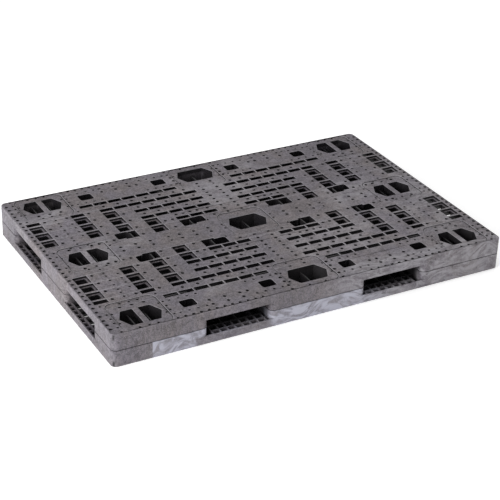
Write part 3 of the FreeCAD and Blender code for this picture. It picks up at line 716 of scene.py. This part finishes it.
def new_tree(name, inputs):
    tree = bpy.data.node_groups.new(name, "GeometryNodeTree")
    tree.interface.new_socket("Geometry", in_out="INPUT", socket_type="NodeSocketGeometry")
    for label, kind, default in inputs:
        socket = tree.interface.new_socket(label, in_out="INPUT", socket_type=kind)
        if default is not None:
            socket.default_value = default
    tree.interface.new_socket("Geometry", in_out="OUTPUT", socket_type="NodeSocketGeometry")
    return tree, tree.nodes.new("NodeGroupInput"), tree.nodes.new("NodeGroupOutput")


def add_node(tree, kind, links=None, values=None, settings=None):
    node = tree.nodes.new(kind)
    for attribute, value in (settings or {}).items():
        setattr(node, attribute, value)
    for label, source in (links or {}).items():
        tree.links.new(source, node.inputs[label])
    for label, value in (values or {}).items():
        node.inputs[label].default_value = value
    return node


def end_tree(tree, given, result, geometry):
    """Every tree ends by realizing its instances and setting its material."""
    real = add_node(tree, "GeometryNodeRealizeInstances", {"Geometry": geometry})
    painted = add_node(tree, "GeometryNodeSetMaterial",
                       {"Geometry": real.outputs["Geometry"], "Material": given.outputs["Material"]})
    tree.links.new(painted.outputs["Geometry"], result.inputs["Geometry"])
    return tree


def sweep_tree():
    """A round or oval bead along the edges of the mesh, wandering a little if asked to."""
    tree, given, result = new_tree("bead_along_edges", (
        ("Width", "NodeSocketFloat", 0.001), ("Height", "NodeSocketFloat", 0.001),
        ("Sides", "NodeSocketInt", 8), ("Unevenness", "NodeSocketFloat", 0.0),
        ("Material", "NodeSocketMaterial", None)))
    path = add_node(tree, "GeometryNodeMeshToCurve", {"Mesh": given.outputs["Geometry"]})
    upright = add_node(tree, "GeometryNodeSetCurveNormal", {"Curve": path.outputs["Curve"]})
    upright.mode = "Z_UP"
    ring = add_node(tree, "GeometryNodeCurvePrimitiveCircle", {"Resolution": given.outputs["Sides"]},
                    {"Radius": 0.5})
    scale = add_node(tree, "ShaderNodeCombineXYZ",
                     {"X": given.outputs["Width"], "Y": given.outputs["Height"]}, {"Z": 1.0})
    oval = add_node(tree, "GeometryNodeTransform",
                    {"Geometry": ring.outputs["Curve"], "Scale": scale.outputs[0]})
    body = add_node(tree, "GeometryNodeCurveToMesh",
                    {"Curve": upright.outputs["Curve"], "Profile Curve": oval.outputs["Geometry"]},
                    {"Fill Caps": True})
    place = add_node(tree, "GeometryNodeInputPosition")
    noise = add_node(tree, "ShaderNodeTexNoise", {"Vector": place.outputs[0]}, {"Scale": 70.0, "Detail": 2.0})
    centred = add_node(tree, "ShaderNodeVectorMath", {0: noise.outputs["Color"]}, {1: (0.5, 0.5, 0.5)},
                       {"operation": "SUBTRACT"})
    flat = add_node(tree, "ShaderNodeVectorMath", {0: centred.outputs[0]}, {1: (1.0, 1.0, 0.35)},
                    {"operation": "MULTIPLY"})
    shift = add_node(tree, "ShaderNodeVectorMath", {0: flat.outputs[0], "Scale": given.outputs["Unevenness"]},
                     None, {"operation": "SCALE"})
    moved = add_node(tree, "GeometryNodeSetPosition",
                     {"Geometry": body.outputs["Mesh"], "Offset": shift.outputs[0]})
    return end_tree(tree, given, result, moved.outputs["Geometry"])


def pad_tree():
    """A low round pad, a cone with a blunt top, at every point of the mesh."""
    tree, given, result = new_tree("pads_on_points", (
        ("Radius", "NodeSocketFloat", 0.005), ("Height", "NodeSocketFloat", 0.001),
        ("Material", "NodeSocketMaterial", None)))
    top = add_node(tree, "ShaderNodeMath", {0: given.outputs["Radius"]}, {1: 0.86}, {"operation": "MULTIPLY"})
    pad = add_node(tree, "GeometryNodeMeshCone",
                   {"Radius Bottom": given.outputs["Radius"], "Radius Top": top.outputs[0],
                    "Depth": given.outputs["Height"]}, {"Vertices": 14})
    spots = add_node(tree, "GeometryNodeMeshToPoints", {"Mesh": given.outputs["Geometry"]})
    placed = add_node(tree, "GeometryNodeInstanceOnPoints",
                      {"Points": spots.outputs["Points"], "Instance": pad.outputs["Mesh"]})
    return end_tree(tree, given, result, placed.outputs["Instances"])


def grown(name, guide, tree, values, material):
    """Runs a tree on a guide mesh and returns its result as a plain mesh piece."""
    holder = link_object(name + "_guide", guide)
    modifier = holder.modifiers.new("grow", "NODES")
    modifier.node_group = tree
    for item in tree.interface.items_tree:
        if item.in_out == "INPUT" and item.name in values:
            modifier[item.identifier] = values[item.name]
        elif item.in_out == "INPUT" and item.name == "Material":
            modifier[item.identifier] = material
    bpy.context.view_layer.update()
    mesh = bpy.data.meshes.new_from_object(holder.evaluated_get(bpy.context.evaluated_depsgraph_get()))
    holder.modifiers.remove(modifier)
    bpy.data.objects.remove(holder)
    for polygon in mesh.polygons:
        polygon.use_smooth = True
    mesh.set_sharp_from_angle(angle=math.radians(50))
    if not mesh.materials:
        mesh.materials.append(material)
    return link_object(name, mesh)


def path_mesh(name, paths):
    """A mesh of bare edges: each path is (points, closed)."""
    points = []
    edges = []
    for path, closed in paths:
        start = len(points)
        points += [tuple(point) for point in path]
        edges += [(start + i, start + i + 1) for i in range(len(path) - 1)]
        if closed:
            edges.append((start + len(path) - 1, start))
    mesh = bpy.data.meshes.new(name)
    mesh.from_pydata(points, edges, [])
    return mesh


def rounded_path(low, high, radius, z, spacing=0.012, steps=6):
    """A rounded rectangle at one height, with points along its straight sides too."""
    corners = ((high.x - radius, high.y - radius, 0.0), (low.x + radius, high.y - radius, 90.0),
               (low.x + radius, low.y + radius, 180.0), (high.x - radius, low.y + radius, 270.0))
    arcs = []
    for x, y, start in corners:
        angles = [math.radians(start + 90.0 * i / steps) for i in range(steps + 1)]
        arcs.append([Vector((x + radius * math.cos(a), y + radius * math.sin(a), z)) for a in angles])
    points = []
    for arc, following in zip(arcs, arcs[1:] + arcs[:1]):
        points += arc
        gap = following[0] - arc[-1]
        count = max(1, round(gap.length / spacing))
        points += [arc[-1] + gap * (i / count) for i in range(1, count)]
    return points


# ---------------------------------------------------------------- operators


class PALLET_OT_finishes(bpy.types.Operator):
    """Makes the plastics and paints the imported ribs, legs and skins with them"""

    bl_idname = "pallet.finishes"
    bl_label = "Plastic finishes"

    def execute(self, context):
        finish = context.scene.pallet_finish
        groups = {"flow": make_flow_group(), "feather": make_feather_group(), "surface": make_surface_group()}
        plastics = {
            "upper": plastic_material("upper_plastic", groups, finish, marbled=False),
            "lower": plastic_material("lower_plastic", groups, finish, marbled=True),
            "weld": weld_material(groups, finish),
        }
        for name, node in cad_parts.items():
            node.data.materials.clear()
            node.data.materials.append(plastics[name.split("_")[0]])
        return {"FINISHED"}


class PALLET_OT_deck_skins(bpy.types.Operator):
    """Puts skins with rounded openings in place of the two plain pierced ones"""

    bl_idname = "pallet.deck_skins"
    bl_label = "Deck skins"

    def execute(self, context):
        upper = build_skin(context.scene.pallet_shape)
        lower = turned_over(upper)
        for side, mesh in (("upper", upper), ("lower", lower)):
            piece = link_object(side + "_rounded_skin", mesh)
            mesh.materials.append(bpy.data.materials[side + "_plastic"])
            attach(piece, "root")
            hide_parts(side + "_deck_skin")
        return {"FINISHED"}


class PALLET_OT_weld_flash(bpy.types.Operator):
    """Puts an uneven melted bead in place of each plain weld bead"""

    bl_idname = "pallet.weld_flash"
    bl_label = "Weld flash"

    def execute(self, context):
        shape = context.scene.pallet_shape
        tree = sweep_tree()
        for leg in LEG_NAMES:
            low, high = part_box("weld_bead_" + leg)
            inset = Vector((shape.bead_width / 2, shape.bead_width / 2, 0.0)) * 0.85
            middle = (low.z + high.z) / 2
            path = rounded_path(low + inset, high - inset, shape.bead_round, middle)
            values = {"Width": shape.bead_width, "Height": (high.z - low.z) * 1.06, "Sides": 10,
                      "Unevenness": shape.bead_noise * 2}
            piece = grown("weld_flash_" + leg, path_mesh("bead_path", [(path, True)]), tree, values,
                          bpy.data.materials["melted_plastic"])
            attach(piece, "root")
            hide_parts("weld_bead_" + leg)
        return {"FINISHED"}


class PALLET_OT_mould_lines(bpy.types.Operator):
    """Adds the fine raised lines that the mould's joints leave on the sides and decks"""

    bl_idname = "pallet.mould_lines"
    bl_label = "Mould lines"

    def execute(self, context):
        shape = context.scene.pallet_shape
        tree = sweep_tree()
        upper_paths = self.paths(shape)
        for side in ("upper", "lower"):
            paths = upper_paths
            if side == "lower":
                paths = [([Vector((p.x, p.y, HEIGHT - p.z)) for p in points], closed)
                         for points, closed in upper_paths]
            values = {"Width": 2 * shape.line_radius, "Height": 2 * shape.line_radius, "Sides": 8}
            piece = grown(side + "_mould_lines", path_mesh("line_path", paths), tree, values,
                          bpy.data.materials[side + "_plastic"])
            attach(piece, "root")
        return {"FINISHED"}

    def paths(self, shape):
        """Lines of the upper moulding: round the band, upright by the fork openings, and on the deck."""
        sink = shape.line_sink
        low = Vector((CAD_BOX[0].x + sink, CAD_BOX[0].y + sink, 0.0))
        high = Vector((CAD_BOX[1].x - sink, CAD_BOX[1].y - sink, 0.0))
        band_low, band_high = LATTICE_BOX[0].z, SKIN_BOX[1].z - shape.line_stop
        found = [(rounded_path(low, high, DECK_CORNER, SKIN_BOX[1].z - shape.band_line, 0.06), True)]
        leg_low, leg_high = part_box("upper_leg_middle_centre")
        end_leg_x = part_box("upper_leg_middle_right")[0].x
        rear_leg_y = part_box("upper_leg_rear_centre")[0].y
        for x in (leg_low.x, leg_high.x, -end_leg_x, end_leg_x):
            for y in (low.y, high.y):
                found.append(([Vector((x, y, band_low)), Vector((x, y, band_high))], False))
        for y in (leg_low.y, leg_high.y, -rear_leg_y, rear_leg_y):
            for x in (low.x, high.x):
                found.append(([Vector((x, y, band_low)), Vector((x, y, band_high))], False))
        deck = SKIN_BOX[1].z - sink
        reach = shape.rib_pitch
        for x in (shape.deck_line_first * shape.rib_pitch, shape.deck_line_second * shape.rib_pitch):
            for side in (-1, 1):
                found.append(([Vector((side * x, -reach, deck)), Vector((side * x, reach, deck))], False))
        return found


class PALLET_OT_ejector_pads(bpy.types.Operator):
    """Adds the round pads that the ejector pins leave on the rib crossings inside the fork tunnels"""

    bl_idname = "pallet.ejector_pads"
    bl_label = "Ejector pads"

    def execute(self, context):
        shape = context.scene.pallet_shape
        tree = pad_tree()
        face = flat_levels(merged_copy("upper_rib_lattice"), -1)[0]
        for side in ("upper", "lower"):
            z = face - shape.pin_height if side == "upper" else HEIGHT - face
            guide = bpy.data.meshes.new("pads")
            guide.from_pydata([(x, y, z) for x, y in self.crossings(shape)], [], [])
            piece = grown(side + "_ejector_pads", guide, tree,
                          {"Radius": shape.pin_radius, "Height": shape.pin_height},
                          bpy.data.materials[side + "_plastic"])
            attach(piece, "root")
        return {"FINISHED"}

    def crossings(self, shape):
        """Every other rib crossing that no leg covers."""
        legs = [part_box("upper_leg_" + leg) for leg in LEG_NAMES]
        margin = 2 * shape.pin_radius
        count_x = int(CAD_BOX[1].x / shape.rib_pitch)
        count_y = int(CAD_BOX[1].y / shape.rib_pitch)
        for column in range(-count_x, count_x + 1):
            for row in range(-count_y, count_y + 1):
                x, y = column * shape.rib_pitch, row * shape.rib_pitch
                covered = any(low.x - margin < x < high.x + margin and low.y - margin < y < high.y + margin
                              for low, high in legs)
                if (row + column) % 2 == 0 and not covered:
                    yield x, y


class PALLET_OT_stage(bpy.types.Operator):
    """Sets up the pale floor, the soft lights and the camera"""

    bl_idname = "pallet.stage"
    bl_label = "Stage"

    def execute(self, context):
        stage = context.scene.pallet_stage
        self.make_floor(stage)
        self.make_world(stage)
        self.add_light("key_light", stage.key_place, stage.key_side, stage.key_power)
        self.add_light("top_light", stage.top_place, stage.top_side, stage.top_power)
        self.make_camera(context, stage)
        context.scene.view_settings.view_transform = "Standard"
        return {"FINISHED"}

    def make_floor(self, stage):
        half = stage.floor_size / 2
        mesh = bpy.data.meshes.new("floor")
        corners = [(-half, -half, 0), (half, -half, 0), (half, half, 0), (-half, half, 0)]
        mesh.from_pydata(corners, [], [(0, 1, 2, 3)])
        floor = link_object("floor", mesh)
        floor.location.z = CAD_BOX[0].z - FLOOR_GAP
        material = bpy.data.materials.new("floor_paper")
        material.use_nodes = True
        shader = material.node_tree.nodes["Principled BSDF"]
        white = stage.floor_white
        shader.inputs["Base Color"].default_value = (white, white, white, 1.0)
        shader.inputs["Roughness"].default_value = 0.9
        shader.inputs["Specular IOR Level"].default_value = 0.1
        shader.inputs["Emission Color"].default_value = (1.0, 1.0, 1.0, 1.0)
        shader.inputs["Emission Strength"].default_value = stage.floor_glow
        mesh.materials.append(material)

    def make_world(self, stage):
        world = bpy.data.worlds.new("studio")
        world.use_nodes = True
        background = world.node_tree.nodes["Background"]
        background.inputs["Color"].default_value = (1.0, 1.0, 1.0, 1.0)
        background.inputs["Strength"].default_value = stage.world_light
        bpy.context.scene.world = world

    def add_light(self, name, place, side, power):
        data = bpy.data.lights.new(name, "AREA")
        data.shape = "SQUARE"
        data.size = side
        data.energy = power
        lamp = link_object(name, data)
        lamp.location = place
        lamp.rotation_euler = (Vector((0.0, 0.0, 0.06)) - Vector(place)).to_track_quat("-Z", "Y").to_euler()

    def make_camera(self, context, stage):
        data = bpy.data.cameras.new("camera")
        data.lens = stage.lens
        data.sensor_width = 36.0
        data.clip_end = 200.0
        camera = link_object("camera", data)
        place, aim = Vector(stage.camera_place), Vector(stage.camera_aim)
        turn = (aim - place).to_track_quat("-Z", "Y").to_matrix().to_4x4()
        camera.matrix_world = Matrix.Translation(place) @ turn @ Matrix.Rotation(stage.camera_roll, 4, "Z")
        context.scene.camera = camera


class PALLET_PT_panel(bpy.types.Panel):
    """Lists the pallet's settings and steps"""

    bl_idname = "PALLET_PT_panel"
    bl_label = "Plastic pallet"
    bl_space_type = "VIEW_3D"
    bl_region_type = "UI"
    bl_category = "Pallet"

    def draw(self, context):
        for settings in (context.scene.pallet_shape, context.scene.pallet_finish, context.scene.pallet_stage):
            box = self.layout.box()
            for name in settings.bl_rna.properties.keys():
                if name not in ("rna_type", "name"):
                    box.prop(settings, name)
        for step in STEPS:
            self.layout.operator(step.bl_idname)


STEPS = (
    PALLET_OT_finishes,
    PALLET_OT_deck_skins,
    PALLET_OT_weld_flash,
    PALLET_OT_mould_lines,
    PALLET_OT_ejector_pads,
    PALLET_OT_stage,
)
SETTINGS = (
    ("pallet_shape", PalletShapeSettings),
    ("pallet_finish", PalletFinishSettings),
    ("pallet_stage", PalletStageSettings),
)


def register():
    for name, settings in SETTINGS:
        bpy.utils.register_class(settings)
        setattr(bpy.types.Scene, name, bpy.props.PointerProperty(type=settings))
    for item in STEPS + (PALLET_PT_panel,):
        bpy.utils.register_class(item)


def unregister():
    for item in reversed(STEPS + (PALLET_PT_panel,)):
        bpy.utils.unregister_class(item)
    for name, settings in reversed(SETTINGS):
        delattr(bpy.types.Scene, name)
        bpy.utils.unregister_class(settings)


def main():
    register()
    bpy.ops.pallet.finishes()
    bpy.ops.pallet.deck_skins()
    bpy.ops.pallet.weld_flash()
    bpy.ops.pallet.mould_lines()
    bpy.ops.pallet.ejector_pads()
    bpy.ops.pallet.stage()


if __name__ == "__main__":
    main()
